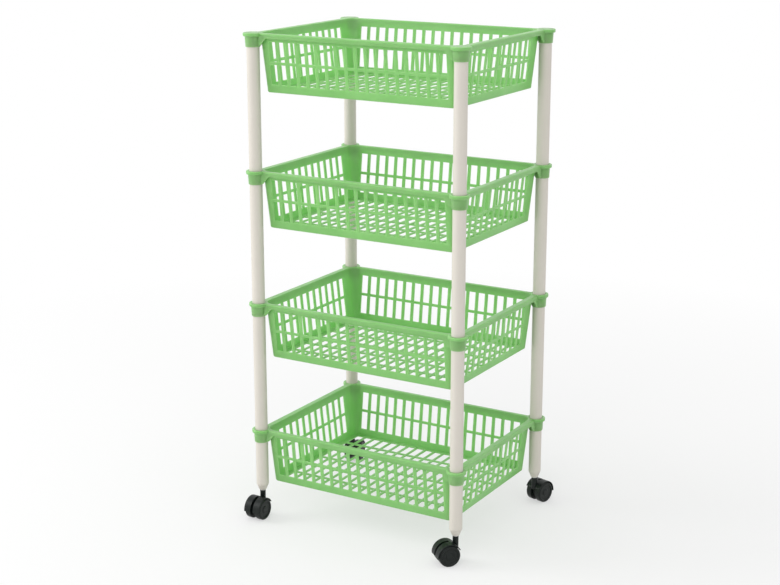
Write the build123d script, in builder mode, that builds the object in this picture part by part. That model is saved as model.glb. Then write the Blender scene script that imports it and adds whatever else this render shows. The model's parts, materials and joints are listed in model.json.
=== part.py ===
# Rolling storage cart: four slotted plastic baskets, push-fit tubes between them,
# and twin-wheel swivel casters under the legs.
# Millimetres. +Z is up, +X runs along the long side, and the origin is on the
# floor in the middle of the footprint.

import os
from math import atan2, cos, degrees, hypot, radians, sin, tan

from build123d import *

# Tiers and corner posts
TIER_COUNT = 4
TIER_PITCH = 210.0
FIRST_RIM_Z = 149.0
POST_SPACING_X = 355.0
POST_SPACING_Y = 273.0
TUBE_RADIUS = 10.0
TUBE_WALL = 1.6
LEG_FOOT_Z = 55.5

# Basket shell, with depths measured down from the rim top
BASKET_DEPTH = 90.0
BOTTOM_HALF_X = 163.5
BOTTOM_HALF_Y = 124.5
BOTTOM_CORNER_RADIUS = 8.0
WALL_LEAN = 10.0
WALL = 2.2
FLOOR = 2.5

# Rim: a flat flange with a turned-down skirt that deepens beside each corner lug
RIM_HALF_X = 181.5
RIM_HALF_Y = 139.5
RIM_CORNER_RADIUS = 6.0
FLANGE = 2.5
SKIRT = 2.0
SKIRT_DEPTH = 7.5
EAR_DEPTH = 19.0
EAR_FULL_LENGTH = 15.0
EAR_LENGTH = 25.0

# Corner lug: a socket with a shelf between the tube above and the tube below
LIP_RADIUS = 15.0
LIP_DEPTH = 5.0
SOCKET_RADIUS = 11.3
SOCKET_DEPTH = 21.0
SOCKET_DRAFT = 3.0
SOCKET_CLEARANCE = 0.1
SHELF_TOP_DEPTH = 9.0
SHELF_BOTTOM_DEPTH = 12.0
GUSSET = 3.0
GUSSET_DEPTH = 18.0
GUSSET_START = 11.0
GUSSET_END = 13.9

# Wall slots in two rows, split by a thin rib, and floor slots below them
LONG_SLOT_PITCH = 17.15
SHORT_SLOT_PITCH = 18.3
LONG_SLOT_WIDTH = 11.5
SHORT_SLOT_WIDTH = 12.3
LONG_WALL_SLOTS = 18
SHORT_WALL_SLOTS = 11
SLOT_ROWS = ((12.8, 42.8), (47.2, 77.4))
FLOOR_SLOT_X = 13.3
FLOOR_SLOT_Y = 35.0
FLOOR_PITCH_Y = 39.0
FLOOR_ROWS = 6

# Plugs that close the sockets of the top basket
CAP_CLEARANCE = 0.15
CAP_TOP = 2.2
CAP_WALL = 1.5
CAP_EDGE = 0.6

# Insert in the foot of each leg, bored for the caster stem
INSERT_FOOT_RADIUS = 5.8
INSERT_FOOT_Z = 45.4
INSERT_TOP_Z = 84.0
INSERT_CLEARANCE = 0.1

# Caster: the stem stays with the leg, and the hood swivels on its lower end
STEM_RADIUS = 4.0
STEM_TOP_Z = 80.0
COLLAR_RADIUS = 4.4
COLLAR_FOOT_Z = 44.2
PIVOT_RADIUS = 3.0
PIVOT_FOOT_Z = 27.6
RUNNING_CLEARANCE = 0.05
TRAIL = 14.0
WHEEL_RADIUS = 17.0
WHEEL_INNER_Y = 4.6
WHEEL_OUTER_Y = 14.6
WHEEL_BORE_END_Y = 11.9
WHEEL_INNER_CHAMFER = 0.8
WHEEL_OUTER_CHAMFER = 2.0
WHEEL_RING_RADIUS = 13.2
DISH_RADIUS = 12.3
DISH_DEPTH = 1.4
HUB_FOOT_RADIUS = 6.3
HUB_RADIUS = 5.3
HUB_DEPTH = 0.6
AXLE_RADIUS = 2.5
AXLE_HALF_LENGTH = 11.6
HOOD_INNER_RADIUS = 17.8
HOOD_OUTER_RADIUS = 19.4
HOOD_EDGE = 1.2
HOOD_FRONT_ANGLE = -62.0
HOOD_BACK_ANGLE = 95.0
GROOVE_HALF = 2.4
GROOVE_OUTER_RADIUS = 20.0
GROOVE_FRONT_ANGLE = -8.0
WEB_HALF = 4.3
WEB_HUB_RADIUS = 12.3
WEB_RIM_RADIUS = 18.6
NECK_RADIUS = 4.6
NECK_FOOT_Z = 31.0
NECK_TOP_Z = 44.0
NOSE_FOOT_Z = 24.0
PIVOT_BORE_FOOT_Z = 27.0

# Side of the cart in X and Y for each corner, and the way its caster trails in degrees from +X
CORNERS = {
    "front_left": (-1, -1, 270.0),
    "front_right": (1, -1, 230.0),
    "back_left": (-1, 1, 105.0),
    "back_right": (1, 1, 75.0),
}

POST_X = POST_SPACING_X / 2
POST_Y = POST_SPACING_Y / 2
DRAFT = degrees(atan2(WALL_LEAN, BASKET_DEPTH))
RIM_TOPS = [FIRST_RIM_Z + TIER_PITCH * tier for tier in range(TIER_COUNT)]
SOCKET_BORE = TUBE_RADIUS + SOCKET_CLEARANCE

os.makedirs("parts", exist_ok=True)


def write_copy(piece, name, location):
    copy = piece.moved(location)
    copy.label = name
    export_step(copy, f"parts/{name}.step")


# Basket, with its rim top at height zero
floor_lean = FLOOR * tan(radians(DRAFT))
inner_half_x = BOTTOM_HALF_X + floor_lean - WALL
inner_half_y = BOTTOM_HALF_Y + floor_lean - WALL
inner_radius = BOTTOM_CORNER_RADIUS + floor_lean - WALL
corner_reach_x = POST_X - BOTTOM_HALF_X + BOTTOM_CORNER_RADIUS
corner_reach_y = POST_Y - BOTTOM_HALF_Y + BOTTOM_CORNER_RADIUS
gusset_angle = degrees(atan2(corner_reach_y, corner_reach_x))
gusset_middle = (GUSSET_START + GUSSET_END) / 2 / hypot(corner_reach_x, corner_reach_y)
gusset_x = POST_X - gusset_middle * corner_reach_x
gusset_y = POST_Y - gusset_middle * corner_reach_y


def draw_ears(post_along):
    # The skirt's two deeper ends on one side of the rim, drawn as seen from outside
    Polygon(
        (post_along, -SKIRT_DEPTH),
        (post_along, -EAR_DEPTH),
        (post_along - EAR_FULL_LENGTH, -EAR_DEPTH),
        (post_along - EAR_LENGTH, -SKIRT_DEPTH),
        align=None,
    )
    mirror(about=Plane.YZ)


def draw_wall_slots(count, pitch, width):
    for top, bottom in SLOT_ROWS:
        with Locations((0, -(top + bottom) / 2)):
            with GridLocations(pitch, 1, count, 1):
                Rectangle(width, bottom - top)


with BuildPart() as basket:
    # Drafted tub
    with BuildSketch(Plane.XY.offset(-BASKET_DEPTH)):
        RectangleRounded(2 * BOTTOM_HALF_X, 2 * BOTTOM_HALF_Y, BOTTOM_CORNER_RADIUS)
    extrude(amount=BASKET_DEPTH, taper=-DRAFT)
    # Flange, then the skirt under its edge
    with BuildSketch(Plane.XY.offset(-FLANGE)):
        RectangleRounded(2 * RIM_HALF_X, 2 * RIM_HALF_Y, RIM_CORNER_RADIUS)
    extrude(amount=FLANGE)
    with BuildSketch(Plane.XY.offset(-SKIRT_DEPTH)):
        RectangleRounded(2 * RIM_HALF_X, 2 * RIM_HALF_Y, RIM_CORNER_RADIUS)
        Rectangle(2 * (RIM_HALF_X - SKIRT), 2 * (RIM_HALF_Y - SKIRT), mode=Mode.SUBTRACT)
    extrude(amount=SKIRT_DEPTH - FLANGE)
    for side in (-1, 1):
        with BuildSketch(Plane.XZ.offset(side * RIM_HALF_Y)):
            draw_ears(POST_X)
        extrude(amount=-side * SKIRT)
        with BuildSketch(Plane.YZ.offset(side * RIM_HALF_X)):
            draw_ears(POST_Y)
        extrude(amount=-side * SKIRT)
    # Corner lugs: lip, drafted socket and a gusset to the tub
    with BuildSketch(Plane.XY.offset(-LIP_DEPTH)):
        with GridLocations(POST_SPACING_X, POST_SPACING_Y, 2, 2):
            Circle(LIP_RADIUS)
    extrude(amount=LIP_DEPTH)
    with BuildSketch(Plane.XY.offset(-SOCKET_DEPTH)):
        with GridLocations(POST_SPACING_X, POST_SPACING_Y, 2, 2):
            Circle(SOCKET_RADIUS)
    extrude(amount=SOCKET_DEPTH - FLANGE, taper=-SOCKET_DRAFT)
    with BuildSketch(Plane.XY.offset(-GUSSET_DEPTH)):
        for side_x, side_y, _ in CORNERS.values():
            with Locations((side_x * gusset_x, side_y * gusset_y)):
                Rectangle(GUSSET_END - GUSSET_START, GUSSET, rotation=side_x * side_y * gusset_angle)
    extrude(amount=GUSSET_DEPTH - FLANGE)
    # Hollow of the tub
    with BuildSketch(Plane.XY.offset(FLOOR - BASKET_DEPTH)):
        RectangleRounded(2 * inner_half_x, 2 * inner_half_y, inner_radius)
    extrude(amount=BASKET_DEPTH - FLOOR, taper=-DRAFT, mode=Mode.SUBTRACT)
    # Socket mouths above and below the shelf
    with BuildSketch(Plane.XY.offset(-SHELF_TOP_DEPTH)):
        with GridLocations(POST_SPACING_X, POST_SPACING_Y, 2, 2):
            Circle(SOCKET_BORE)
    extrude(amount=SHELF_TOP_DEPTH, mode=Mode.SUBTRACT)
    with BuildSketch(Plane.XY.offset(-SOCKET_DEPTH)):
        with GridLocations(POST_SPACING_X, POST_SPACING_Y, 2, 2):
            Circle(SOCKET_BORE)
    extrude(amount=SOCKET_DEPTH - SHELF_BOTTOM_DEPTH, mode=Mode.SUBTRACT)
    # Slots through both long walls, both short walls and the floor
    with BuildSketch(Plane.XZ):
        draw_wall_slots(LONG_WALL_SLOTS, LONG_SLOT_PITCH, LONG_SLOT_WIDTH)
    extrude(amount=BOTTOM_HALF_Y + WALL_LEAN, both=True, mode=Mode.SUBTRACT)
    with BuildSketch(Plane.YZ):
        draw_wall_slots(SHORT_WALL_SLOTS, SHORT_SLOT_PITCH, SHORT_SLOT_WIDTH)
    extrude(amount=BOTTOM_HALF_X + WALL_LEAN, both=True, mode=Mode.SUBTRACT)
    with BuildSketch(Plane.XY.offset(-BASKET_DEPTH)):
        with GridLocations(LONG_SLOT_PITCH, FLOOR_PITCH_Y, LONG_WALL_SLOTS, FLOOR_ROWS):
            Rectangle(FLOOR_SLOT_X, FLOOR_SLOT_Y)
    extrude(amount=FLOOR, mode=Mode.SUBTRACT)

for tier, rim_z in enumerate(RIM_TOPS, start=1):
    write_copy(basket.part, f"basket_{tier}", Location((0, 0, rim_z)))

# Plug for an open socket of the top basket, with its top at height zero
with BuildPart() as top_cap:
    with BuildSketch(Plane.XY.offset(-SHELF_TOP_DEPTH)):
        Circle(SOCKET_BORE - CAP_CLEARANCE)
    extrude(amount=SHELF_TOP_DEPTH)
    fillet(top_cap.edges().group_by(Axis.Z)[-1], CAP_EDGE)
    with BuildSketch(Plane.XY.offset(-SHELF_TOP_DEPTH)):
        Circle(SOCKET_BORE - CAP_CLEARANCE - CAP_WALL)
    extrude(amount=SHELF_TOP_DEPTH - CAP_TOP, mode=Mode.SUBTRACT)

# Tube between two tiers, with its foot on the lower socket's shelf at height zero
with BuildPart() as upright:
    with BuildSketch():
        Circle(TUBE_RADIUS)
        Circle(TUBE_RADIUS - TUBE_WALL, mode=Mode.SUBTRACT)
    extrude(amount=TIER_PITCH + SHELF_TOP_DEPTH - SHELF_BOTTOM_DEPTH)

# Leg tube under the lowest basket, at its height above the floor
with BuildPart() as leg:
    with BuildSketch(Plane.XY.offset(LEG_FOOT_Z)):
        Circle(TUBE_RADIUS)
        Circle(TUBE_RADIUS - TUBE_WALL, mode=Mode.SUBTRACT)
    extrude(amount=FIRST_RIM_Z - SHELF_BOTTOM_DEPTH - LEG_FOOT_Z)

# Insert: a plug inside the leg's foot and a tapered nose below it
plug_radius = TUBE_RADIUS - TUBE_WALL - INSERT_CLEARANCE
insert_bore = STEM_RADIUS + RUNNING_CLEARANCE
with BuildPart() as leg_insert:
    with BuildSketch(Plane.XZ):
        with BuildLine():
            Polyline(
                (insert_bore, INSERT_FOOT_Z),
                (INSERT_FOOT_RADIUS, INSERT_FOOT_Z),
                (TUBE_RADIUS, LEG_FOOT_Z),
                (plug_radius, LEG_FOOT_Z),
                (plug_radius, INSERT_TOP_Z),
                (insert_bore, INSERT_TOP_Z),
                close=True,
            )
        make_face()
    revolve(axis=Axis.Z)

# Stem: a shank in the insert, a collar under it and the pivot that the hood turns on
with BuildPart() as caster_stem:
    with BuildSketch(Plane.XZ):
        with BuildLine():
            Polyline(
                (0, PIVOT_FOOT_Z),
                (PIVOT_RADIUS, PIVOT_FOOT_Z),
                (PIVOT_RADIUS, COLLAR_FOOT_Z),
                (COLLAR_RADIUS, COLLAR_FOOT_Z),
                (COLLAR_RADIUS, INSERT_FOOT_Z),
                (STEM_RADIUS, INSERT_FOOT_Z),
                (STEM_RADIUS, STEM_TOP_Z),
                (0, STEM_TOP_Z),
                close=True,
            )
        make_face()
    revolve(axis=Axis.Z)

# Caster pieces are drawn trailing towards +X, with the swivel axis on Z
axle_axis = Axis((TRAIL, 0, WHEEL_RADIUS), (0, 1, 0))
hood_sweep = HOOD_BACK_ANGLE - HOOD_FRONT_ANGLE


def axle_section(angle):
    # Plane through the axle, tipped back from upright by an angle in degrees
    turn = radians(angle)
    return Plane(origin=(TRAIL, 0, WHEEL_RADIUS), x_dir=(0, 1, 0), z_dir=(cos(turn), 0, -sin(turn)))


with BuildPart() as caster_hood:
    # Arched hood over both wheels, with rounded shoulders
    with BuildSketch(axle_section(HOOD_FRONT_ANGLE)) as hood_section:
        with Locations((0, (HOOD_INNER_RADIUS + HOOD_OUTER_RADIUS) / 2)):
            Rectangle(2 * WHEEL_OUTER_Y, HOOD_OUTER_RADIUS - HOOD_INNER_RADIUS)
        fillet(hood_section.vertices().group_by(Axis.Y)[-1], HOOD_EDGE)
    revolve(axis=axle_axis, revolution_arc=hood_sweep)
    # Web between the wheels, with a nose below the neck
    with BuildSketch(Plane.XZ):
        with BuildLine():
            arc = CenterArc((TRAIL, WHEEL_RADIUS), WEB_RIM_RADIUS, 90 - HOOD_BACK_ANGLE, hood_sweep)
            Polyline(arc @ 1, (TRAIL, WHEEL_RADIUS), arc @ 0)
        make_face()
        with Locations((TRAIL, WHEEL_RADIUS)):
            Circle(WEB_HUB_RADIUS)
        with Locations((0, (NOSE_FOOT_Z + NECK_FOOT_Z) / 2)):
            Rectangle(2 * NECK_RADIUS, NECK_FOOT_Z - NOSE_FOOT_Z)
    extrude(amount=WEB_HALF, both=True)
    with BuildSketch(Plane.XY.offset(NECK_FOOT_Z)):
        Circle(NECK_RADIUS)
    extrude(amount=NECK_TOP_Z - NECK_FOOT_Z)
    # Groove down the middle of the hood behind the neck
    with BuildSketch(axle_section(GROOVE_FRONT_ANGLE)):
        with Locations((0, (WEB_HUB_RADIUS + GROOVE_OUTER_RADIUS) / 2)):
            Rectangle(2 * GROOVE_HALF, GROOVE_OUTER_RADIUS - WEB_HUB_RADIUS)
    revolve(axis=axle_axis, revolution_arc=HOOD_BACK_ANGLE - GROOVE_FRONT_ANGLE, mode=Mode.SUBTRACT)
    # Bores for the pivot and the axle
    with BuildSketch(Plane.XY.offset(PIVOT_BORE_FOOT_Z)):
        Circle(PIVOT_RADIUS + RUNNING_CLEARANCE)
    extrude(amount=NECK_TOP_Z - PIVOT_BORE_FOOT_Z, mode=Mode.SUBTRACT)
    with BuildSketch(Plane.XZ):
        with Locations((TRAIL, WHEEL_RADIUS)):
            Circle(AXLE_RADIUS)
    extrude(amount=WEB_HALF, both=True, mode=Mode.SUBTRACT)

with BuildPart() as caster_axle:
    with BuildSketch(Plane.XZ):
        with Locations((TRAIL, WHEEL_RADIUS)):
            Circle(AXLE_RADIUS)
    extrude(amount=AXLE_HALF_LENGTH, both=True)

# Wheel profile: distance from the middle of the caster, then radius
wheel_bore = AXLE_RADIUS + RUNNING_CLEARANCE
WHEEL_PROFILE = (
    (WHEEL_INNER_Y, wheel_bore),
    (WHEEL_INNER_Y, WHEEL_RADIUS - WHEEL_INNER_CHAMFER),
    (WHEEL_INNER_Y + WHEEL_INNER_CHAMFER, WHEEL_RADIUS),
    (WHEEL_OUTER_Y - WHEEL_OUTER_CHAMFER, WHEEL_RADIUS),
    (WHEEL_OUTER_Y, WHEEL_RADIUS - WHEEL_OUTER_CHAMFER),
    (WHEEL_OUTER_Y, WHEEL_RING_RADIUS),
    (WHEEL_OUTER_Y - DISH_DEPTH, DISH_RADIUS),
    (WHEEL_OUTER_Y - DISH_DEPTH, HUB_FOOT_RADIUS),
    (WHEEL_OUTER_Y - HUB_DEPTH, HUB_RADIUS),
    (WHEEL_OUTER_Y - HUB_DEPTH, 0.0),
    (WHEEL_BORE_END_Y, 0.0),
    (WHEEL_BORE_END_Y, wheel_bore),
)
with BuildPart() as wheel_a:
    with BuildSketch(axle_section(0)):
        with BuildLine():
            Polyline(*WHEEL_PROFILE, close=True)
        make_face()
    revolve(axis=axle_axis)

with BuildPart() as wheel_b:
    add(wheel_a.part)
    mirror(about=Plane.XZ, mode=Mode.REPLACE)

# One set of corner pieces on each post
for corner, (side_x, side_y, trail_angle) in CORNERS.items():
    post = Location((side_x * POST_X, side_y * POST_Y, 0))
    caster = Location((side_x * POST_X, side_y * POST_Y, 0), (0, 0, trail_angle))
    write_copy(top_cap.part, f"top_cap_{corner}", post * Location((0, 0, RIM_TOPS[-1])))
    for gap, rim_z in enumerate(RIM_TOPS[:-1], start=1):
        foot = Location((0, 0, rim_z - SHELF_TOP_DEPTH))
        write_copy(upright.part, f"upright_{gap}_{corner}", post * foot)
    write_copy(leg.part, f"leg_{corner}", post)
    write_copy(leg_insert.part, f"leg_insert_{corner}", post)
    write_copy(caster_stem.part, f"caster_stem_{corner}", post)
    write_copy(caster_hood.part, f"caster_hood_{corner}", caster)
    write_copy(caster_axle.part, f"caster_axle_{corner}", caster)
    write_copy(wheel_a.part, f"caster_wheel_{corner}_a", caster)
    write_copy(wheel_b.part, f"caster_wheel_{corner}_b", caster)
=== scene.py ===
import json
import math
from collections import namedtuple

import bmesh
import bpy
from mathutils import Matrix, Vector


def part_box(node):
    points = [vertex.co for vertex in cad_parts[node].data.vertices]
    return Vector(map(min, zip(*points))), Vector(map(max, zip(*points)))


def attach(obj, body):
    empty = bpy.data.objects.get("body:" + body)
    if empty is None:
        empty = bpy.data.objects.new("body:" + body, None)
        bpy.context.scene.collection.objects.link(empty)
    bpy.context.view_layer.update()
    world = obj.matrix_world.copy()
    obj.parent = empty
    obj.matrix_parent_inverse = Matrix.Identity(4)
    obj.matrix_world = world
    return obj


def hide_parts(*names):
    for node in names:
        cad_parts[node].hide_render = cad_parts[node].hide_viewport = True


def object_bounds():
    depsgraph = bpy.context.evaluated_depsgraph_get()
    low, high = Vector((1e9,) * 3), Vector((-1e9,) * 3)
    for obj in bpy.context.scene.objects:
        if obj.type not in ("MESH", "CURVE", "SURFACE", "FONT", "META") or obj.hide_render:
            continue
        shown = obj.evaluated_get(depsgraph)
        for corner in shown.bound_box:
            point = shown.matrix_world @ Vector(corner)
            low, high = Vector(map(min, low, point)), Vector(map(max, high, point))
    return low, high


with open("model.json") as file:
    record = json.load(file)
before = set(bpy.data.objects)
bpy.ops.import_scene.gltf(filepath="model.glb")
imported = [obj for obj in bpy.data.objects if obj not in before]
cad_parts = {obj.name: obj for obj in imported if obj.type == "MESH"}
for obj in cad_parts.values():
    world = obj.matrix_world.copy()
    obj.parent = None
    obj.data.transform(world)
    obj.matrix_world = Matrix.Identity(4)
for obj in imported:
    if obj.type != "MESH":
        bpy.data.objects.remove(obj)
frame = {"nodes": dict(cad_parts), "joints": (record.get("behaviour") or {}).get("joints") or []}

cad_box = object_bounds()

MM = 0.001
CORNERS = ("front_left", "front_right", "back_left", "back_right")
TIERS = (1, 2, 3, 4)

# Places and sizes that the frame gives
rim_tops = [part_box(f"basket_{tier}")[1].z for tier in TIERS]
basket_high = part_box("basket_1")[1]
leg_low, leg_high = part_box("leg_front_right")
POST_X = (leg_low.x + leg_high.x) / 2
POST_Y = -(leg_low.y + leg_high.y) / 2
TUBE_RADIUS = (leg_high.x - leg_low.x) / 2
LIP_RADIUS = basket_high.x - POST_X
BASKET_DEPTH = basket_high.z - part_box("basket_1")[0].z

# Basket walls: an outline rounded about a core rectangle, wider towards the rim
CORE_X = 155.5 * MM
CORE_Y = 116.5 * MM
BOTTOM_RADIUS = 8.0 * MM
WALL_LEAN = 10.0 * MM
WALL = 2.2 * MM
FLOOR = 2.5 * MM
INNER_TOP_ROUND = 1.0 * MM
BOTTOM_ROUND = 1.6 * MM

# Rim: a flange with a turned-down skirt that deepens beside each corner lug
RIM_X = 181.5 * MM
RIM_Y = 139.5 * MM
RIM_CORNER_RADIUS = 6.0 * MM
RIM_ROUND = 2.2 * MM
FLANGE = 2.5 * MM
SKIRT = 2.0 * MM
SKIRT_DEPTH = 7.5 * MM
EAR_DEPTH = 19.0 * MM
EAR_FULL_LENGTH = 15.0 * MM
EAR_LENGTH = 25.0 * MM

# Slots in the walls, in two rows split by a thin rib, and in the floor
LONG_SLOT_PITCH = 17.15 * MM
SHORT_SLOT_PITCH = 18.3 * MM
LONG_SLOT_WIDTH = 11.5 * MM
SHORT_SLOT_WIDTH = 12.3 * MM
LONG_SLOTS = 18
SHORT_SLOTS = 11
SLOT_ROWS = ((12.8 * MM, 42.8 * MM), (47.2 * MM, 77.4 * MM))
FLOOR_SLOT_X = 13.3 * MM
FLOOR_SLOT_Y = 35.0 * MM
FLOOR_PITCH_Y = 39.0 * MM
FLOOR_ROWS = 6
EDGE_ROUND = 0.55 * MM

# Corner lugs, each a socket for a tube above and a tube below
LIP_RISE = 0.3 * MM
LIP_DEPTH = 5.0 * MM
LIP_ROUND = 1.2 * MM
SOCKET_TOP_RADIUS = 12.15 * MM
SOCKET_RADIUS = 11.3 * MM
SOCKET_DEPTH = 21.0 * MM
SOCKET_ROUND = 0.8 * MM
SOCKET_BORE = 10.1 * MM
BORE_FLARE = 0.7 * MM
SHELF_TOP_DEPTH = 9.0 * MM
SHELF_BOTTOM_DEPTH = 12.0 * MM
GUSSET = 3.0 * MM
GUSSET_DEPTH = 18.0 * MM
GUSSET_START = 11.0 * MM
GUSSET_END = 13.9 * MM

# How finely round surfaces are divided, and how edges are rounded
ROUND_STEPS = 5
TUBE_END_STEPS = 3
INNER_TOP_STEPS = 3
RIM_STEPS = 5
BOTTOM_STEPS = 4
RIM_CORNER_STEPS = 4
HOLLOW_STEPS = 12
HOOD_STEPS = 44
TURNED_SEGMENTS = 64
LUG_SEGMENTS = 56
WHEEL_SEGMENTS = 72
BEVEL_SEGMENTS = 2
ROUND_PROFILE = 0.5
SHARP_ANGLE = math.radians(40)

# How far a cutter reaches past what it cuts, and how near counts as the same
CUT_OVER = 1.0 * MM
NEARLY_ZERO = 1e-6
LINE_DIGITS = 7
CORNER_DIGITS = 6


def clamp(value):
    return min(1.0, max(0.0, value))


def rounded_outline(corners, steps=ROUND_STEPS):
    """Closed outline of (across, up) points from corners given as (across, up, round radius)."""
    points = []
    for index, (across, up, radius) in enumerate(corners):
        corner = Vector((across, up))
        if radius == 0:
            points.append(corner)
            continue
        to_last = (Vector(corners[index - 1][:2]) - corner).normalized()
        to_next = (Vector(corners[(index + 1) % len(corners)][:2]) - corner).normalized()
        half = to_last.angle(to_next) / 2
        centre = corner + (to_last + to_next).normalized() * radius / math.sin(half)
        start = corner + to_last * radius / math.tan(half) - centre
        end = corner + to_next * radius / math.tan(half) - centre
        for step in range(steps + 1):
            points.append(centre + start.slerp(end, step / steps).normalized() * radius)
    return points


def lathe(outline, segments=TURNED_SEGMENTS):
    """Closed mesh made by turning a closed outline of (radius, height) points about Z."""
    bm = bmesh.new()
    rings = []
    for radius, height in outline:
        if radius == 0:
            rings.append([bm.verts.new((0, 0, height))] * segments)
            continue
        turns = [2 * math.pi * k / segments for k in range(segments)]
        rings.append([bm.verts.new((radius * math.cos(t), radius * math.sin(t), height)) for t in turns])
    for ring, after in zip(rings, rings[1:] + rings[:1]):
        for k in range(segments):
            face = list(dict.fromkeys((ring[k - 1], ring[k], after[k], after[k - 1])))
            if len(face) > 2:
                bm.faces.new(face)
    return bm


def to_mesh(bm, name):
    bmesh.ops.recalc_face_normals(bm, faces=bm.faces)
    mesh = bpy.data.meshes.new(name)
    bm.to_mesh(mesh)
    bm.free()
    return mesh


def round_edges(bm, radius):
    """Round every sharp edge of a closed mesh."""
    edges = [e for e in bm.edges if e.is_manifold and e.calc_face_angle() > SHARP_ANGLE]
    detail = {"segments": BEVEL_SEGMENTS, "profile": ROUND_PROFILE}
    bmesh.ops.bevel(bm, geom=edges, offset=radius, affect="EDGES", **detail)


def combined(mesh, tool, operation):
    """The mesh joined with, or cut by, the tool mesh."""
    base = bpy.data.objects.new("base", mesh)
    other = bpy.data.objects.new("other", tool)
    for part in (base, other):
        bpy.context.scene.collection.objects.link(part)
    modifier = base.modifiers.new("combine", "BOOLEAN")
    modifier.operation = operation
    modifier.solver = "EXACT"
    modifier.object = other
    evaluated = base.evaluated_get(bpy.context.evaluated_depsgraph_get())
    result = bpy.data.meshes.new_from_object(evaluated)
    for part in (base, other):
        bpy.data.objects.remove(part)
    return result


def show(name, mesh, material, body, nodes, place):
    """Add a finished piece of the cart that stands for some CAD nodes and rides on a body."""
    mesh.materials.clear()
    mesh.materials.append(material)
    mesh.shade_smooth()
    mesh.set_sharp_from_angle(angle=SHARP_ANGLE)
    piece = bpy.data.objects.new(name, mesh)
    bpy.context.scene.collection.objects.link(piece)
    piece.matrix_world = place
    normals = piece.modifiers.new("even_normals", "WEIGHTED_NORMAL")
    normals.keep_sharp = True
    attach(piece, body)
    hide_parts(*nodes)


# Basket mesh, with depths measured down from the top of the rim
Station = namedtuple("Station", ("core", "wall_out", "rim", "rim_out"))


def wall_radius(depth):
    """How far the outside of the wall stands from the core rectangle."""
    return BOTTOM_RADIUS + WALL_LEAN * (1 - depth / BASKET_DEPTH)


def skirt_depth(from_post):
    """How deep the skirt hangs at a distance along the rim from the nearest post."""
    share = clamp((from_post - EAR_FULL_LENGTH) / (EAR_LENGTH - EAR_FULL_LENGTH))
    return EAR_DEPTH + (SKIRT_DEPTH - EAR_DEPTH) * share


def in_slot(along, count, pitch, width):
    """Whether a place along a row of slots, centred on zero, falls in a slot."""
    turn = along / pitch + count / 2
    return 0 <= turn < count and abs(turn % 1 - 0.5) * pitch < width / 2


def slot_edges(count, pitch, width):
    """Places of the slots' edges on the positive half of a centred row."""
    centres = [(k + 0.5 - count / 2) * pitch for k in range(count)]
    edges = [c + side * width / 2 for c in centres for side in (-1, 1)]
    return [e for e in edges if e > 0]


def half_lines(*groups):
    """Grid lines on the positive half of a side, without repeats."""
    return sorted({round(line, LINE_DIGITS) for group in groups for line in group} | {0.0})


# On the long sides the last floor slots end where the ears begin, so one line serves both
long_lines = half_lines(
    slot_edges(LONG_SLOTS, LONG_SLOT_PITCH, LONG_SLOT_WIDTH),
    slot_edges(LONG_SLOTS, LONG_SLOT_PITCH, FLOOR_SLOT_X),
    (CORE_X,),
)
short_lines = half_lines(
    slot_edges(SHORT_SLOTS, SHORT_SLOT_PITCH, SHORT_SLOT_WIDTH),
    slot_edges(FLOOR_ROWS, FLOOR_PITCH_Y, FLOOR_SLOT_Y),
    (POST_Y - EAR_LENGTH, CORE_Y),
)


def quarter_stations():
    """Stations from the middle of the front to the middle of the right side.

    Each one has a core point, the wall's outward direction, a rim point and the rim's outward direction.
    """
    front, right = Vector((0, -1)), Vector((1, 0))
    stations = [Station(Vector((x, -CORE_Y)), front, Vector((x, -RIM_Y)), front) for x in long_lines]
    arc_centre = Vector((RIM_X - RIM_CORNER_RADIUS, RIM_CORNER_RADIUS - RIM_Y))
    rim_path = [(Vector((x, -RIM_Y)), front) for x in (POST_X - EAR_FULL_LENGTH, arc_centre.x)]
    for step in range(1, RIM_CORNER_STEPS):
        out = front.slerp(right, step / RIM_CORNER_STEPS)
        rim_path.append((arc_centre + out * RIM_CORNER_RADIUS, out))
    rim_path += [(Vector((RIM_X, -y)), right) for y in (-arc_centre.y, POST_Y - EAR_FULL_LENGTH)]
    core_corner = Vector((CORE_X, -CORE_Y))
    for step, (rim_point, rim_out) in enumerate(rim_path, start=1):
        out = front.slerp(right, step / (len(rim_path) + 1))
        stations.append(Station(core_corner, out, rim_point, rim_out))
    for y in reversed(short_lines):
        stations.append(Station(Vector((CORE_X, -y)), right, Vector((RIM_X, -y)), right))
    return stations


def all_stations():
    """The quarter's stations mirrored round the whole rim, anticlockwise from the middle of the front."""
    def mirrored(stations, x, y):
        return [Station(*(Vector((v.x * x, v.y * y)) for v in station)) for station in stations]

    quarter = quarter_stations()
    back = quarter[::-1]
    loop = quarter + mirrored(back, 1, -1)[1:] + mirrored(quarter, -1, -1)[1:]
    return loop + mirrored(back, -1, 1)[1:-1]


def quarter_turns(steps):
    """Angles from zero to a right angle in equal steps."""
    return [math.radians(90 * step / steps) for step in range(steps + 1)]


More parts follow.
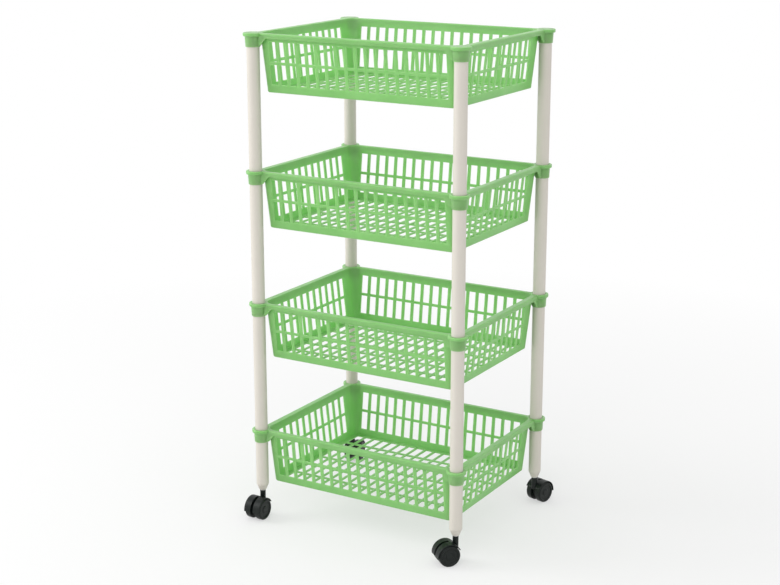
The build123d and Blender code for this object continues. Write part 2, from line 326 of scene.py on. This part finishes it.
def shell_rings():
    """Rings of the basket's section, from the inside of the floor over the rim to its underside.

    Each ring gives a point for a station. Wall rings are also filed by side and depth.
    """
    rings, wall_ring = [], {}

    def wall(depth, inset, side=None):
        wall_ring[side, depth] = len(rings)
        rings.append(lambda s: (s.core + s.wall_out * (wall_radius(depth) - inset), depth))

    def rim(depth, inset):
        rings.append(lambda s: (s.rim - s.rim_out * inset, depth))

    def skirt(inset):
        rings.append(lambda s: (s.rim - s.rim_out * inset, skirt_depth(reach_from_post(s))))

    slot_depths = [depth for row in SLOT_ROWS for depth in row]
    wall(BASKET_DEPTH - FLOOR, WALL, "inner")
    for depth in reversed(slot_depths):
        wall(depth, WALL, "inner")
    for turn in quarter_turns(INNER_TOP_STEPS):
        inset = WALL - INNER_TOP_ROUND * (1 - math.cos(turn))
        wall(INNER_TOP_ROUND * (1 - math.sin(turn)), inset)
    for turn in quarter_turns(RIM_STEPS):
        rim(RIM_ROUND * (1 - math.cos(turn)), RIM_ROUND * (1 - math.sin(turn)))
    skirt(0)
    skirt(SKIRT)
    rim(FLANGE, SKIRT)
    wall(FLANGE, 0)
    for depth in slot_depths:
        wall(depth, 0, "outer")
    for turn in quarter_turns(BOTTOM_STEPS):
        depth = BASKET_DEPTH - BOTTOM_ROUND * (1 - math.sin(turn))
        wall(depth, BOTTOM_ROUND * (1 - math.cos(turn)), "outer")
    return rings, wall_ring


def reach_from_post(station):
    """Distance along the rim from a station to the nearest post's axis, zero past it."""
    if abs(station.rim_out.x) < NEARLY_ZERO:
        return max(0.0, POST_X - abs(station.rim.x))
    if abs(station.rim_out.y) < NEARLY_ZERO:
        return max(0.0, POST_Y - abs(station.rim.y))
    return 0.0


def wall_slot_at(station, after):
    """Whether the stretch of wall between two stations is slotted."""
    middle = (station.core + after.core) / 2
    if abs(station.wall_out.x) + abs(after.wall_out.x) < NEARLY_ZERO:
        return in_slot(middle.x, LONG_SLOTS, LONG_SLOT_PITCH, LONG_SLOT_WIDTH)
    if abs(station.wall_out.y) + abs(after.wall_out.y) < NEARLY_ZERO:
        return in_slot(middle.y, SHORT_SLOTS, SHORT_SLOT_PITCH, SHORT_SLOT_WIDTH)
    return False


def add_walls(bm, stations):
    """Walls and rim round all stations. Returns the vertices of the first and last ring."""
    rings, wall_ring = shell_rings()
    verts = []
    for ring in rings:
        points = [ring(station) for station in stations]
        verts.append([bm.verts.new((point.x, point.y, -depth)) for point, depth in points])
    count = len(stations)
    slotted = [wall_slot_at(stations[i], stations[(i + 1) % count]) for i in range(count)]
    open_bands = set()
    for top, bottom in SLOT_ROWS:
        open_bands.add(wall_ring["inner", bottom])
        open_bands.add(wall_ring["outer", top])
    for band, (ring, after) in enumerate(zip(verts, verts[1:])):
        for i in range(count):
            j = (i + 1) % count
            if not (slotted[i] and band in open_bands):
                bm.faces.new((ring[j], ring[i], after[i], after[j]))
    for top, bottom in SLOT_ROWS:
        inner_top, inner_bottom = (verts[wall_ring["inner", depth]] for depth in (top, bottom))
        outer_top, outer_bottom = (verts[wall_ring["outer", depth]] for depth in (top, bottom))
        for i in range(count):
            j = (i + 1) % count
            if not slotted[i]:
                continue
            bm.faces.new((inner_top[i], inner_top[j], outer_top[j], outer_top[i]))
            bm.faces.new((inner_bottom[i], inner_bottom[j], outer_bottom[j], outer_bottom[i]))
            for k, beside in ((i, i - 1), (j, j)):
                if not slotted[beside]:
                    bm.faces.new((inner_top[k], inner_bottom[k], outer_bottom[k], outer_top[k]))
    return verts[0], verts[-1]


def add_floor(bm, stations, upper_edge, lower_edge):
    """Slotted floor inside the walls' first and last rings."""
    xs = [-x for x in reversed(long_lines[1:])] + long_lines
    ys = [-y for y in reversed(short_lines[1:])] + short_lines
    upper, lower = {}, {}

    def corner_of(point):
        return round(point.x, CORNER_DIGITS), round(point.y, CORNER_DIGITS)

    for x in xs:
        for y in ys:
            key = corner_of(Vector((x, y)))
            upper[key] = bm.verts.new((x, y, FLOOR - BASKET_DEPTH))
            lower[key] = bm.verts.new((x, y, -BASKET_DEPTH))
    for grid, edge in ((upper, upper_edge), (lower, lower_edge)):
        for i in range(len(stations)):
            here, last = (grid[corner_of(stations[k].core)] for k in (i, i - 1))
            face = list(dict.fromkeys((last, here, edge[i], edge[i - 1])))
            bm.faces.new(face)

    def open_cell(i, j):
        across = in_slot((xs[i] + xs[i + 1]) / 2, LONG_SLOTS, LONG_SLOT_PITCH, FLOOR_SLOT_X)
        return across and in_slot((ys[j] + ys[j + 1]) / 2, FLOOR_ROWS, FLOOR_PITCH_Y, FLOOR_SLOT_Y)

    for i in range(len(xs) - 1):
        for j in range(len(ys) - 1):
            ring = [(i, j), (i + 1, j), (i + 1, j + 1), (i, j + 1)]
            keys = [corner_of(Vector((xs[a], ys[b]))) for a, b in ring]
            if not open_cell(i, j):
                bm.faces.new([upper[key] for key in keys])
                bm.faces.new([lower[key] for key in reversed(keys)])
                continue
            beside = ((i, j - 1), (i + 1, j), (i, j + 1), (i - 1, j))
            for k, (a, b) in enumerate(beside):
                if not open_cell(a, b):
                    start, end = keys[k], keys[(k + 1) % len(keys)]
                    bm.faces.new((upper[start], upper[end], lower[end], lower[start]))


def at_posts(outline):
    """One turned solid on each of the four posts, in one mesh."""
    bm = bmesh.new()
    turned = to_mesh(lathe(outline, LUG_SEGMENTS), "turned")
    for x in (-POST_X, POST_X):
        for y in (-POST_Y, POST_Y):
            turned.transform(Matrix.Translation((x, y, 0)))
            bm.from_mesh(turned)
            turned.transform(Matrix.Translation((-x, -y, 0)))
    bpy.data.meshes.remove(turned)
    return to_mesh(bm, "at_posts")


def lug_outline():
    return rounded_outline((
        (0, LIP_RISE, 0),
        (LIP_RADIUS, LIP_RISE, LIP_ROUND),
        (LIP_RADIUS, -LIP_DEPTH, LIP_ROUND),
        (SOCKET_TOP_RADIUS, -LIP_DEPTH, SOCKET_ROUND),
        (SOCKET_RADIUS, -SOCKET_DEPTH, SOCKET_ROUND),
        (0, -SOCKET_DEPTH, 0),
    ))


def hollow_mesh():
    """The space inside the tub beside the lugs, out to the middle of the wall."""
    bm = bmesh.new()
    rings = []
    for depth in (-LIP_DEPTH, SOCKET_DEPTH + LIP_DEPTH):
        radius = wall_radius(depth) - WALL / 2
        ring = []
        for quarter, (x, y) in enumerate(((1, 1), (-1, 1), (-1, -1), (1, -1))):
            for step in range(HOLLOW_STEPS + 1):
                turn = math.radians(90 * (quarter + step / HOLLOW_STEPS))
                across, along = radius * math.cos(turn), radius * math.sin(turn)
                ring.append(bm.verts.new((x * CORE_X + across, y * CORE_Y + along, -depth)))
        rings.append(ring)
    upper, lower = rings
    for k in range(len(upper)):
        bm.faces.new((upper[k - 1], upper[k], lower[k], lower[k - 1]))
    for ring in rings:
        bm.faces.new(ring)
    return to_mesh(bm, "hollow")


def bore_outlines():
    """The two socket mouths, each with a flared edge."""
    wide = SOCKET_BORE + BORE_FLARE + CUT_OVER
    top = LIP_RISE
    upper = (
        (0, top + CUT_OVER), (wide, top + CUT_OVER), (SOCKET_BORE, top - BORE_FLARE),
        (SOCKET_BORE, -SHELF_TOP_DEPTH), (0, -SHELF_TOP_DEPTH),
    )
    foot = -SOCKET_DEPTH
    lower = (
        (0, -SHELF_BOTTOM_DEPTH), (SOCKET_BORE, -SHELF_BOTTOM_DEPTH),
        (SOCKET_BORE, foot + BORE_FLARE), (wide, foot - CUT_OVER), (0, foot - CUT_OVER),
    )
    return upper, lower


def gusset_mesh():
    """A plate from each lug towards the tub's corner."""
    bm = bmesh.new()
    reach = Vector((POST_X - CORE_X, POST_Y - CORE_Y))
    height = GUSSET_DEPTH - FLANGE / 2
    for x in (-1, 1):
        for y in (-1, 1):
            inward = Vector((-x * reach.x, -y * reach.y)).normalized()
            middle = Vector((x * POST_X, y * POST_Y)) + inward * (GUSSET_START + GUSSET_END) / 2
            size = Matrix.Diagonal((GUSSET_END - GUSSET_START, GUSSET, height, 1))
            turn = Matrix.Rotation(math.atan2(inward.y, inward.x), 4, "Z")
            place = Matrix.Translation((middle.x, middle.y, -GUSSET_DEPTH + height / 2))
            bmesh.ops.create_cube(bm, size=1, matrix=place @ turn @ size)
    round_edges(bm, EDGE_ROUND)
    return to_mesh(bm, "gussets")


def basket_mesh():
    bm = bmesh.new()
    stations = all_stations()
    upper_edge, lower_edge = add_walls(bm, stations)
    add_floor(bm, stations, upper_edge, lower_edge)
    bmesh.ops.recalc_face_normals(bm, faces=bm.faces)
    round_edges(bm, EDGE_ROUND)
    mesh = to_mesh(bm, "basket")
    lugs = combined(at_posts(lug_outline()), hollow_mesh(), "DIFFERENCE")
    mesh = combined(mesh, lugs, "UNION")
    mesh = combined(mesh, gusset_mesh(), "UNION")
    for outline in bore_outlines():
        mesh = combined(mesh, at_posts(outline), "DIFFERENCE")
    return mesh


# Materials, with noise in cells per metre
NOISE_DETAIL = 3.0
NOISE_LOW = 0.3
NOISE_HIGH = 0.7
PLAIN_CELLS = (1, 1, 1)
LONG_STREAKS = (1, 1, 0.015)
TURNED_RINGS = (0.05, 0.05, 1)


def new_material(name, color, roughness):
    material = bpy.data.materials.new(name)
    material.use_nodes = True
    shader = material.node_tree.nodes["Principled BSDF"]
    shader.inputs["Base Color"].default_value = (*color, 1)
    shader.inputs["Roughness"].default_value = roughness
    return material, material.node_tree, shader


def noise(tree, cells, stretch=PLAIN_CELLS):
    """Noise in the piece's own coordinates."""
    coordinates = tree.nodes.new("ShaderNodeTexCoord")
    mapping = tree.nodes.new("ShaderNodeMapping")
    texture = tree.nodes.new("ShaderNodeTexNoise")
    mapping.inputs["Scale"].default_value = stretch
    texture.inputs["Scale"].default_value = cells
    texture.inputs["Detail"].default_value = NOISE_DETAIL
    tree.links.new(coordinates.outputs["Object"], mapping.inputs["Vector"])
    tree.links.new(mapping.outputs["Vector"], texture.inputs["Vector"])
    return texture.outputs["Fac"]


def spread(tree, value, low, high):
    """A noise value stretched to run from low to high."""
    node = tree.nodes.new("ShaderNodeMapRange")
    node.inputs["From Min"].default_value = NOISE_LOW
    node.inputs["From Max"].default_value = NOISE_HIGH
    node.inputs["To Min"].default_value = low
    node.inputs["To Max"].default_value = high
    tree.links.new(value, node.inputs["Value"])
    return node.outputs["Result"]


def blend_colors(tree, value, first, second):
    ramp = tree.nodes.new("ShaderNodeValToRGB")
    ramp.color_ramp.elements[0].position = NOISE_LOW
    ramp.color_ramp.elements[1].position = NOISE_HIGH
    ramp.color_ramp.elements[0].color = (*first, 1)
    ramp.color_ramp.elements[1].color = (*second, 1)
    tree.links.new(value, ramp.inputs["Fac"])
    return ramp.outputs["Color"]


def bump(tree, value, depth):
    """A surface that rises and falls with a noise value."""
    node = tree.nodes.new("ShaderNodeBump")
    node.inputs["Strength"].default_value = 1.0
    node.inputs["Distance"].default_value = depth
    tree.links.new(value, node.inputs["Height"])
    return node.outputs["Normal"]


def set_tone(tree, shader, cells, dark, light):
    """Base colour that drifts between two tones."""
    tone = blend_colors(tree, noise(tree, cells), dark, light)
    tree.links.new(tone, shader.inputs["Base Color"])


def set_surface(tree, shader, sheen, smooth, rough, relief, grain):
    """Roughness that follows the sheen noise, and a bump that follows the relief noise."""
    tree.links.new(spread(tree, sheen, smooth, rough), shader.inputs["Roughness"])
    tree.links.new(bump(tree, relief, grain), shader.inputs["Normal"])


def basket_plastic():
    """Satin polypropylene, thin enough to let some light through."""
    color, dark, light = (0.234, 0.485, 0.17), (0.218, 0.464, 0.157), (0.25, 0.506, 0.183)
    tone_cells, sheen_cells, grain_cells = 14.0, 60.0, 1600.0
    smooth, rough = 0.3, 0.4
    grain = 0.008 * MM
    glow_radius, glow_scale = (0.8, 1.0, 0.75), 9.0 * MM
    material, tree, shader = new_material("basket_green", color, rough)
    set_tone(tree, shader, tone_cells, dark, light)
    sheen, relief = noise(tree, sheen_cells), noise(tree, grain_cells)
    set_surface(tree, shader, sheen, smooth, rough, relief, grain)
    shader.inputs["Subsurface Weight"].default_value = 1.0
    shader.inputs["Subsurface Radius"].default_value = glow_radius
    shader.inputs["Subsurface Scale"].default_value = glow_scale
    return material


def tube_plastic():
    """Ivory extruded plastic with faint lengthwise streaks."""
    color, dark, light = (0.675, 0.635, 0.57), (0.66, 0.62, 0.555), (0.69, 0.65, 0.585)
    tone_cells, streak_cells = 9.0, 700.0
    smooth, rough = 0.36, 0.5
    grain = 0.02 * MM
    material, tree, shader = new_material("tube_cream", color, rough)
    set_tone(tree, shader, tone_cells, dark, light)
    streaks = noise(tree, streak_cells, LONG_STREAKS)
    set_surface(tree, shader, streaks, smooth, rough, streaks, grain)
    return material


def black_plastic(name, grain):
    """Black moulded plastic with a fine grain, its colour leaning faintly green as painted reflection of
    the green baskets.
    """
    # The faint green in these tones is painted reflection from the baskets, not the plastic's own colour
    color, dark, light = (0.006, 0.0095, 0.008), (0.0045, 0.0072, 0.006), (0.0085, 0.0125, 0.011)
    tone_cells, sheen_cells, grain_cells = 160.0, 350.0, 2600.0
    smooth, rough = 0.28, 0.46
    specular = 0.26
    material, tree, shader = new_material(name, color, rough)
    set_tone(tree, shader, tone_cells, dark, light)
    sheen, relief = noise(tree, sheen_cells), noise(tree, grain_cells)
    set_surface(tree, shader, sheen, smooth, rough, relief, grain)
    shader.inputs["Specular IOR Level"].default_value = specular
    return material


def plated_steel():
    """Bright zinc plating over turned steel."""
    color = (0.56, 0.56, 0.55)
    ring_cells = 900.0
    smooth, rough = 0.22, 0.4
    grain = 0.01 * MM
    material, tree, shader = new_material("steel", color, rough)
    shader.inputs["Metallic"].default_value = 1.0
    rings = noise(tree, ring_cells, TURNED_RINGS)
    set_surface(tree, shader, rings, smooth, rough, rings, grain)
    return material


HOOD_GRAIN = 0.04 * MM
WHEEL_GRAIN = 0.06 * MM
GREEN = basket_plastic()
CREAM = tube_plastic()
HOOD_BLACK = black_plastic("caster_black", HOOD_GRAIN)
WHEEL_BLACK = black_plastic("wheel_black", WHEEL_GRAIN)
STEEL = plated_steel()

# Baskets
basket = basket_mesh()
for tier, rim_z in zip(TIERS, rim_tops):
    place = Matrix.Translation((0, 0, rim_z))
    show(f"slotted_basket_{tier}", basket, GREEN, "cart", [f"basket_{tier}"], place)

# Tubes, plugs and leg ends on the posts
TUBE_WALL = 1.6 * MM
TUBE_END_ROUND = 0.5 * MM
CAP_WALL = 1.5 * MM
CAP_TOP = 2.2 * MM
CAP_ROUND = 0.8 * MM
INSERT_FOOT_RADIUS = 5.8 * MM
INSERT_ROUND = 0.7 * MM
STEM_BORE = 4.05 * MM


def tube_outline(low, high):
    inner = TUBE_RADIUS - TUBE_WALL
    corners = ((TUBE_RADIUS, low), (TUBE_RADIUS, high), (inner, high), (inner, low))
    return rounded_outline([(*corner, TUBE_END_ROUND) for corner in corners], TUBE_END_STEPS)


def cap_outline(radius, low, high):
    inner = radius - CAP_WALL
    return rounded_outline((
        (radius, low, 0), (radius, high, CAP_ROUND), (0, high, 0),
        (0, high - CAP_TOP, 0), (inner, high - CAP_TOP, CAP_ROUND), (inner, low, 0),
    ))


def insert_outline(low, high, leg_foot):
    plug = TUBE_RADIUS - TUBE_WALL
    return rounded_outline((
        (STEM_BORE, low, 0), (INSERT_FOOT_RADIUS, low, INSERT_ROUND), (TUBE_RADIUS, leg_foot, INSERT_ROUND),
        (plug, leg_foot, 0), (plug, high, 0), (STEM_BORE, high, 0),
    ))


def on_post(name, outline, post, material, node):
    place = Matrix.Translation((post.x, post.y, 0))
    show(name, to_mesh(lathe(outline), name), material, "cart", [node], place)


def post_of(node):
    low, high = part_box(node)
    return (low + high) / 2


for corner in CORNERS:
    post = post_of(f"leg_{corner}")
    tubes = [f"upright_{gap}_{corner}" for gap in TIERS[:-1]] + [f"leg_{corner}"]
    for node in tubes:
        low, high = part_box(node)
        on_post(f"tube_{node}", tube_outline(low.z, high.z), post, CREAM, node)
    node = f"leg_insert_{corner}"
    low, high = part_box(node)
    outline = insert_outline(low.z, high.z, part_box(f"leg_{corner}")[0].z)
    on_post(f"tapered_end_{corner}", outline, post, CREAM, node)
    node = f"top_cap_{corner}"
    low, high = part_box(node)
    outline = cap_outline((high.x - low.x) / 2, low.z, high.z + LIP_RISE)
    on_post(f"socket_plug_{corner}", outline, post, GREEN, node)

# Casters: widths from the middle plane, angles in degrees from straight up, growing away from the stem
wheel_low, wheel_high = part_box("caster_wheel_front_left_a")
WHEEL_RADIUS = (wheel_high.z - wheel_low.z) / 2
WHEEL_INNER = 4.6 * MM
WHEEL_OUTER = 14.6 * MM
WHEEL_INNER_ROUND = 0.9 * MM
TREAD_ROUND = 2.4 * MM
RING_RADIUS = 13.4 * MM
DISH_RADIUS = 12.4 * MM
DISH_FACE = 13.2 * MM
HUB_FOOT_RADIUS = 6.3 * MM
HUB_RADIUS = 5.4 * MM
HUB_FACE = 14.3 * MM
HUB_CROWN = 14.5 * MM
WHEEL_BORE = 2.55 * MM
WHEEL_BORE_END = 11.9 * MM
FACE_ROUND = 0.45 * MM
HOOD_INNER_RADIUS = 17.8 * MM
HOOD_OUTER_RADIUS = 19.4 * MM
HOOD_HALF = WHEEL_OUTER
HOOD_FRONT_ANGLE = -62.0
HOOD_BACK_ANGLE = 95.0
GROOVE_HALF = 2.4 * MM
GROOVE_FLOOR_RADIUS = 12.6 * MM
GROOVE_FRONT_ANGLE = -8.0
SHOULDER_ROUND = 1.0 * MM
HOOD_EDGE_ROUND = 0.3 * MM
END_CHAMFER = 0.25 * MM
WEB_EDGE_ROUND = 0.3 * MM
WEB_HALF = 4.3 * MM
WEB_HUB_RADIUS = 12.3 * MM
WEB_RIM_RADIUS = 18.6 * MM
WEB_INSET_ANGLE = 0.7
NECK_RADIUS = 4.6 * MM
NECK_FOOT_RADIUS = 4.42 * MM
NECK_FOOT_Z = 24.0 * MM
NECK_TOP_Z = 44.0 * MM
NECK_FOOT_ROUND = 0.8 * MM
NECK_TOP_ROUND = 0.6 * MM
PIVOT_BORE = 3.05 * MM
PIVOT_FOOT_Z = 27.0 * MM
AXLE_RADIUS = 2.5 * MM


def turns_between(first, last):
    """Angles in radians from first to last, both in degrees."""
    return [math.radians(first + (last - first) * step / HOOD_STEPS) for step in range(HOOD_STEPS + 1)]


def hood_section(inset):
    """Section of the hood's arch, drawn in by an inset: across, then distance from the axle."""
    half = HOOD_HALF - inset
    inner, outer = HOOD_INNER_RADIUS + inset, HOOD_OUTER_RADIUS - inset
    shoulder = SHOULDER_ROUND - inset
    return rounded_outline((
        (-half, inner, HOOD_EDGE_ROUND), (half, inner, HOOD_EDGE_ROUND),
        (half, outer, shoulder), (-half, outer, shoulder),
    ))


def swept(trail, stations, name):
    """Closed mesh through sections of (across, radius) points, each at its turn about the axle."""
    bm = bmesh.new()
    rings = []
    for turn, section in stations:
        across, up = math.sin(turn), math.cos(turn)
        rings.append([bm.verts.new((trail + r * across, y, WHEEL_RADIUS + r * up)) for y, r in section])
    for ring, after in zip(rings, rings[1:]):
        for k in range(len(ring)):
            bm.faces.new((ring[k - 1], ring[k], after[k], after[k - 1]))
    bm.faces.new(rings[0])
    bm.faces.new(rings[-1])
    return to_mesh(bm, name)


def arch_mesh(trail):
    """The hood's arch over both wheels, with rounded shoulders and broken ends."""
    end_step = math.degrees(END_CHAMFER / HOOD_OUTER_RADIUS)
    turns = turns_between(HOOD_FRONT_ANGLE + end_step, HOOD_BACK_ANGLE - end_step)
    broken = hood_section(END_CHAMFER)
    full = hood_section(0)
    stations = [(math.radians(HOOD_FRONT_ANGLE), broken)] + [(turn, full) for turn in turns]
    stations.append((math.radians(HOOD_BACK_ANGLE), broken))
    return swept(trail, stations, "arch")


def groove_mesh(trail):
    """The groove down the middle of the hood behind the neck, reaching past its surface."""
    low, high = GROOVE_FLOOR_RADIUS, HOOD_OUTER_RADIUS + CUT_OVER
    section = ((-GROOVE_HALF, low), (GROOVE_HALF, low), (GROOVE_HALF, high), (-GROOVE_HALF, high))
    past_end = math.degrees(CUT_OVER / HOOD_OUTER_RADIUS)
    turns = turns_between(GROOVE_FRONT_ANGLE, HOOD_BACK_ANGLE + past_end)
    return swept(trail, [(turn, section) for turn in turns], "groove")


def web_mesh(trail):
    """The plate between the wheels, from the hub up to the hood and out to the neck."""
    bm = bmesh.new()
    front, back = HOOD_FRONT_ANGLE + WEB_INSET_ANGLE, HOOD_BACK_ANGLE - WEB_INSET_ANGLE
    points = []
    for radius, first, last in ((WEB_RIM_RADIUS, front, back), (WEB_HUB_RADIUS, back, 360 + front)):
        for turn in turns_between(first, last):
            points.append((trail + radius * math.sin(turn), WHEEL_RADIUS + radius * math.cos(turn)))
    sides = [[bm.verts.new((x, y, z)) for x, z in points] for y in (-WEB_HALF, WEB_HALF)]
    for k in range(len(points)):
        bm.faces.new((sides[0][k - 1], sides[0][k], sides[1][k], sides[1][k - 1]))
    for side in sides:
        bm.faces.new(side)
    bmesh.ops.recalc_face_normals(bm, faces=bm.faces)
    round_edges(bm, WEB_EDGE_ROUND)
    return to_mesh(bm, "web")


def neck_outline():
    return rounded_outline((
        (0, NECK_FOOT_Z, 0),
        (NECK_FOOT_RADIUS, NECK_FOOT_Z, NECK_FOOT_ROUND),
        (NECK_RADIUS, NECK_TOP_Z, NECK_TOP_ROUND),
        (0, NECK_TOP_Z, 0),
    ))


def rod_mesh(radius, low, high):
    return to_mesh(lathe(((0, low), (radius, low), (radius, high), (0, high))), "rod")


def hood_mesh(trail):
    """The caster's body, with the stem's axis on Z and the axle a trail away from it along X."""
    mesh = combined(arch_mesh(trail), web_mesh(trail), "UNION")
    mesh = combined(mesh, to_mesh(lathe(neck_outline()), "neck"), "UNION")
    mesh = combined(mesh, groove_mesh(trail), "DIFFERENCE")
    pivot = rod_mesh(PIVOT_BORE, PIVOT_FOOT_Z, NECK_TOP_Z + CUT_OVER)
    mesh = combined(mesh, pivot, "DIFFERENCE")
    bore_half = WEB_HALF + CUT_OVER
    bore = rod_mesh(AXLE_RADIUS, -bore_half, bore_half)
    along_axle = Matrix.Rotation(math.radians(-90), 4, "X")
    bore.transform(Matrix.Translation((trail, 0, WHEEL_RADIUS)) @ along_axle)
    return combined(mesh, bore, "DIFFERENCE")


def wheel_outline():
    """Section of a wheel: radius, then distance from the middle of the caster."""
    return rounded_outline((
        (WHEEL_BORE, WHEEL_INNER, 0),
        (WHEEL_RADIUS, WHEEL_INNER, WHEEL_INNER_ROUND),
        (WHEEL_RADIUS, WHEEL_OUTER, TREAD_ROUND),
        (RING_RADIUS, WHEEL_OUTER, FACE_ROUND),
        (DISH_RADIUS, DISH_FACE, FACE_ROUND),
        (HUB_FOOT_RADIUS, DISH_FACE, FACE_ROUND),
        (HUB_RADIUS, HUB_FACE, FACE_ROUND),
        (0, HUB_CROWN, 0),
        (0, WHEEL_BORE_END, 0),
        (WHEEL_BORE, WHEEL_BORE_END, 0),
    ))


joints = {joint["name"]: joint for joint in frame["joints"]}
swivel = Vector(joints["swivel_front_left"]["pos_m"])
axle = Vector(joints["roll_front_left_a"]["pos_m"])
TRAIL = (axle - swivel).to_2d().length
hood = hood_mesh(TRAIL)
wheel = to_mesh(lathe(wheel_outline(), WHEEL_SEGMENTS), "wheel")
for corner in CORNERS:
    swivel = Vector(joints[f"swivel_{corner}"]["pos_m"])
    axle = Vector(joints[f"roll_{corner}_a"]["pos_m"])
    along = axle - swivel
    turn = Matrix.Rotation(math.atan2(along.y, along.x), 4, "Z")
    place = Matrix.Translation((swivel.x, swivel.y, 0)) @ turn
    node = f"caster_hood_{corner}"
    show(f"hood_{corner}", hood, HOOD_BLACK, f"caster_{corner}", [node], place)
    for side, flip in (("a", -90), ("b", 90)):
        on_axle = Matrix.Translation(axle) @ turn @ Matrix.Rotation(math.radians(flip), 4, "X")
        name = f"wheel_{corner}_{side}"
        show(f"round_{name}", wheel, WHEEL_BLACK, name, [f"caster_{name}"], on_axle)

# Steel pieces keep their CAD shape
for corner in CORNERS:
    for node in (f"caster_stem_{corner}", f"caster_axle_{corner}"):
        steel_piece = frame["nodes"][node]
        steel_piece.data.materials.clear()
        steel_piece.data.materials.append(STEEL)

# Studio: a white ground, light and camera
GROUND_HALF = 20.0
GROUND_WHITE = 0.85
SHADOW_REACH = (0.5, 1.6)
GLOW_SHARE = (0.5, 1.0)
WORLD_LEVEL = 0.8
Softbox = namedtuple("Softbox", ("place", "size", "power"))
SOFTBOXES = {
    "key": Softbox((-2.6, -1.3, 1.6), 1.8, 40.0),
    "overhead": Softbox((0.3, -0.6, 3.2), 2.0, 8.0),
    "front": Softbox((0.6, -2.7, 2.2), 2.0, 14.0),
}
LENS = 73.22
SENSOR_WIDTH = 36.0
CAMERA_PLACE = (1.2246, -2.0913, 1.0301)
CAMERA_TILT = 15.287
CAMERA_TURN = 30.738


def add_ground():
    """White ground that keeps the cart's shadow and turns to pure white away from it."""
    bm = bmesh.new()
    bmesh.ops.create_grid(bm, x_segments=1, y_segments=1, size=GROUND_HALF)
    floor = bpy.data.objects.new("floor", to_mesh(bm, "floor"))
    bpy.context.scene.collection.objects.link(floor)
    material = bpy.data.materials.new("floor_white")
    material.use_nodes = True
    tree = material.node_tree
    tree.nodes.clear()
    output = tree.nodes.new("ShaderNodeOutputMaterial")
    diffuse = tree.nodes.new("ShaderNodeBsdfDiffuse")
    diffuse.inputs["Color"].default_value = (GROUND_WHITE, GROUND_WHITE, GROUND_WHITE, 1)
    glow = tree.nodes.new("ShaderNodeEmission")
    mix = tree.nodes.new("ShaderNodeMixShader")
    place = tree.nodes.new("ShaderNodeTexCoord")
    away = tree.nodes.new("ShaderNodeVectorMath")
    away.operation = "LENGTH"
    fade = tree.nodes.new("ShaderNodeMapRange")
    fade.inputs["From Min"].default_value, fade.inputs["From Max"].default_value = SHADOW_REACH
    fade.inputs["To Min"].default_value, fade.inputs["To Max"].default_value = GLOW_SHARE
    share = tree.nodes.new("ShaderNodeMath")
    share.operation = "MULTIPLY"
    tree.links.new(place.outputs["Object"], away.inputs[0])
    tree.links.new(away.outputs["Value"], fade.inputs["Value"])
    tree.links.new(seen_directly(tree), share.inputs[0])
    tree.links.new(fade.outputs["Result"], share.inputs[1])
    tree.links.new(share.outputs[0], mix.inputs["Fac"])
    tree.links.new(diffuse.outputs["BSDF"], mix.inputs[1])
    tree.links.new(glow.outputs["Emission"], mix.inputs[2])
    tree.links.new(mix.outputs["Shader"], output.inputs["Surface"])
    floor.data.materials.append(material)


def seen_directly(tree):
    """One for camera, glossy and transmitted rays, and zero for light that falls on the object."""
    path = tree.nodes.new("ShaderNodeLightPath")
    total = path.outputs["Is Camera Ray"]
    for ray in ("Is Glossy Ray", "Is Transmission Ray"):
        larger = tree.nodes.new("ShaderNodeMath")
        larger.operation = "MAXIMUM"
        tree.links.new(total, larger.inputs[0])
        tree.links.new(path.outputs[ray], larger.inputs[1])
        total = larger.outputs[0]
    return total


def set_world():
    """White surroundings, a little weaker as light than as seen."""
    world = bpy.data.worlds.new("studio")
    bpy.context.scene.world = world
    world.use_nodes = True
    tree = world.node_tree
    background = tree.nodes["Background"]
    background.inputs["Color"].default_value = (1, 1, 1, 1)
    strength = tree.nodes.new("ShaderNodeMapRange")
    strength.inputs["To Min"].default_value = WORLD_LEVEL
    strength.inputs["To Max"].default_value = 1.0
    tree.links.new(seen_directly(tree), strength.inputs["Value"])
    tree.links.new(strength.outputs["Result"], background.inputs["Strength"])


def add_softbox(name, softbox, target):
    lamp = bpy.data.lights.new(name, "AREA")
    lamp.shape = "DISK"
    lamp.size = softbox.size
    lamp.energy = softbox.power
    holder = bpy.data.objects.new(name, lamp)
    holder.location = softbox.place
    holder.rotation_euler = (target - Vector(softbox.place)).to_track_quat("-Z", "Y").to_euler()
    bpy.context.scene.collection.objects.link(holder)


def add_camera():
    camera = bpy.data.cameras.new("camera")
    camera.lens = LENS
    camera.sensor_width = SENSOR_WIDTH
    holder = bpy.data.objects.new("camera", camera)
    holder.location = CAMERA_PLACE
    holder.rotation_euler = (math.radians(90 - CAMERA_TILT), 0, math.radians(CAMERA_TURN))
    bpy.context.scene.collection.objects.link(holder)
    bpy.context.scene.camera = holder


add_ground()
set_world()
for name, softbox in SOFTBOXES.items():
    add_softbox(name, softbox, (cad_box[0] + cad_box[1]) / 2)
add_camera()
bpy.context.scene.view_settings.view_transform = "Standard"
